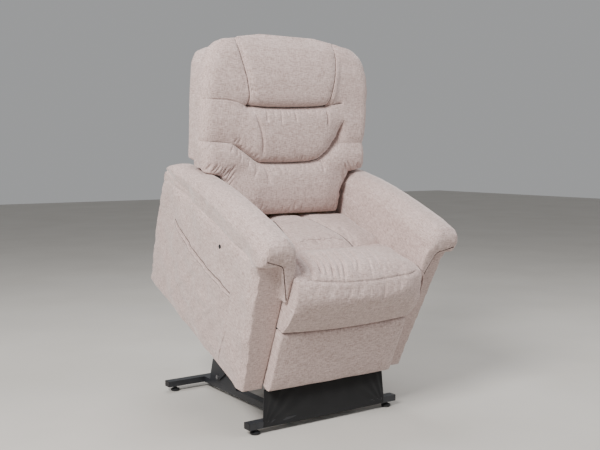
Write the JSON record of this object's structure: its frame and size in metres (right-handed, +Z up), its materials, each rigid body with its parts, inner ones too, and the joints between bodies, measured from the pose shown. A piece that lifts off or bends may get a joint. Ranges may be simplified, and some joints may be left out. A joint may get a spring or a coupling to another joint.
{
  "type": "lift recliner chair",
  "caption": "Upholstered lift recliner that raises and tips forward to help a sitter stand, with a folding footrest and a reclining back.",
  "frame": {"origin": "middle of the whole raised chair's footprint box, on the floor", "axes": "+Z up, -Y is the front that the sitter faces, +X is the sitter's left"},
  "size_m": [0.846, 0.9836, 1.4163],
  "materials": {
    "upholstery": "woven chenille, matt",
    "black_cloth": "plain matt lining cloth",
    "black_steel": "satin black powder coat",
    "zinc": "zinc plated, satin",
    "black_plastic": "matt black moulding",
    "grey_plastic": "fine spark-eroded moulding",
    "plywood": "raw plywood"
  },
  "bodies": {
    "base": {"front_cross_tube": "black_steel", "rear_cross_tube": "black_steel", "side_rail_left": "black_steel", "side_rail_right": "black_steel", "riser_bracket_left": "black_steel", "riser_bracket_right": "black_steel", "lower_link_pin_left": "zinc", "lower_link_pin_right": "zinc", "front_tube_cap_left": "black_plastic", "front_tube_cap_right": "black_plastic", "rear_tube_cap_left": "black_plastic", "rear_tube_cap_right": "black_plastic", "front_foot_left": "black_plastic", "front_foot_right": "black_plastic", "rear_foot_left": "black_plastic", "rear_foot_right": "black_plastic", "lift_motor_mount": "black_steel", "front_valance": "black_cloth"},
    "upper_lift_links": {"upper_lift_link_left": "black_steel", "upper_lift_link_right": "black_steel", "lift_torque_tube": "black_steel"},
    "lower_lift_links": {"lower_lift_link_left": "black_steel", "lower_lift_link_right": "black_steel"},
    "lift_motor": {"lift_motor": "grey_plastic"},
    "lift_rod": {"lift_rod": "zinc"},
    "chair": {"carrier_plate_left": "black_steel", "carrier_plate_right": "black_steel", "front_cross_bar": "black_steel", "rear_cross_bar": "black_steel", "seat_front_rail": "plywood", "seat_deck": "black_cloth", "rear_panel": "upholstery", "power_supply": "black_plastic", "arm_side_left": "upholstery", "arm_side_right": "upholstery", "arm_pad_left": "upholstery", "arm_pad_right": "upholstery", "side_pocket": "upholstery", "control_socket": "black_plastic", "seat_cushion": "upholstery"},
    "footrest_rear_links": {"footrest_rear_link_left": "black_steel", "footrest_rear_link_right": "black_steel", "footrest_torque_tube": "black_steel"},
    "footrest_front_links": {"footrest_front_link_left": "black_steel", "footrest_front_link_right": "black_steel"},
    "footrest": {"footrest_bracket": "black_steel", "footrest_board": "plywood", "footrest_pad": "upholstery"},
    "backrest": {"back_bracket_left": "black_steel", "back_bracket_right": "black_steel", "back_lever_bar": "black_steel", "back_board": "plywood", "back_shell": "upholstery", "head_pillow": "upholstery", "lumbar_cushion": "upholstery", "lower_back_cushion": "upholstery", "back_wing_left": "upholstery", "back_wing_right": "upholstery"},
    "back_motor": {"back_motor": "grey_plastic"},
    "back_rod": {"back_rod": "zinc"}
  },
  "joints": [
    {"name": "lift", "type": "hinge", "parent": "base", "child": "upper_lift_links", "pos_m": [0, 0.1789, 0.1048], "axis": [1, 0, 0], "range_deg": [0, 36.57], "deforming": ["front_valance"]},
    {"name": "chair_tilt", "type": "hinge", "parent": "upper_lift_links", "child": "chair", "pos_m": [0, -0.06757, 0.28468], "axis": [1, 0, 0], "range_deg": [-59.68, 0]},
    {"name": "lower_link_swing", "type": "hinge", "parent": "base", "child": "lower_lift_links", "pos_m": [0, 0.2832, 0.072], "axis": [1, 0, 0], "range_deg": [0, 32.1]},
    {"name": "lift_motor_swivel", "type": "hinge", "parent": "base", "child": "lift_motor", "pos_m": [0, -0.1798, 0.062], "axis": [1, 0, 0], "range_deg": [-0.01, 0.456]},
    {"name": "lift_rod_slide", "type": "slide", "parent": "lift_motor", "child": "lift_rod", "axis": [0, 0.9257, 0.3781], "range_m": [-0.06308, 0]},
    {"name": "footrest", "type": "hinge", "parent": "chair", "child": "footrest_rear_links", "pos_m": [0, -0.26282, 0.40752], "axis": [-1, 0, 0], "range_deg": [0, 132.3]},
    {"name": "footrest_knee", "type": "hinge", "parent": "footrest_rear_links", "child": "footrest_front_links", "pos_m": [0, -0.04568, 0.37218], "axis": [-1, 0, 0], "range_deg": [-90.17, 0]},
    {"name": "footrest_tilt", "type": "hinge", "parent": "footrest_front_links", "child": "footrest", "pos_m": [0, -0.25094, 0.293], "axis": [-1, 0, 0], "range_deg": [0, 42.87]},
    {"name": "backrest_recline", "type": "hinge", "parent": "chair", "child": "backrest", "pos_m": [0, 0.18937, 0.69824], "axis": [-1, 0, 0], "range_deg": [0, 40]},
    {"name": "back_motor_swivel", "type": "hinge", "parent": "chair", "child": "back_motor", "pos_m": [0, -0.21167, 0.45326], "axis": [-1, 0, 0], "range_deg": [-0.933, 0.01]},
    {"name": "back_rod_slide", "type": "slide", "parent": "back_motor", "child": "back_rod", "axis": [0, 0.9402, 0.3405], "range_m": [-0.06499, 0]}
  ],
  "couplings": [
    {"joint": "chair_tilt", "follows": "lift", "ratio": -1.6316},
    {"joint": "lower_link_swing", "follows": "lift", "ratio": 0.87741},
    {"joint": "lift_motor_swivel", "follows": "lift", "ratio": 0.01219},
    {"joint": "lift_rod_slide", "follows": "lift", "m_per_rad": -0.09866},
    {"joint": "footrest_knee", "follows": "footrest", "ratio": -0.68145},
    {"joint": "footrest_tilt", "follows": "footrest", "ratio": 0.32392},
    {"joint": "back_motor_swivel", "follows": "backrest_recline", "ratio": -0.02308},
    {"joint": "back_rod_slide", "follows": "backrest_recline", "m_per_rad": -0.09294}
  ]
}
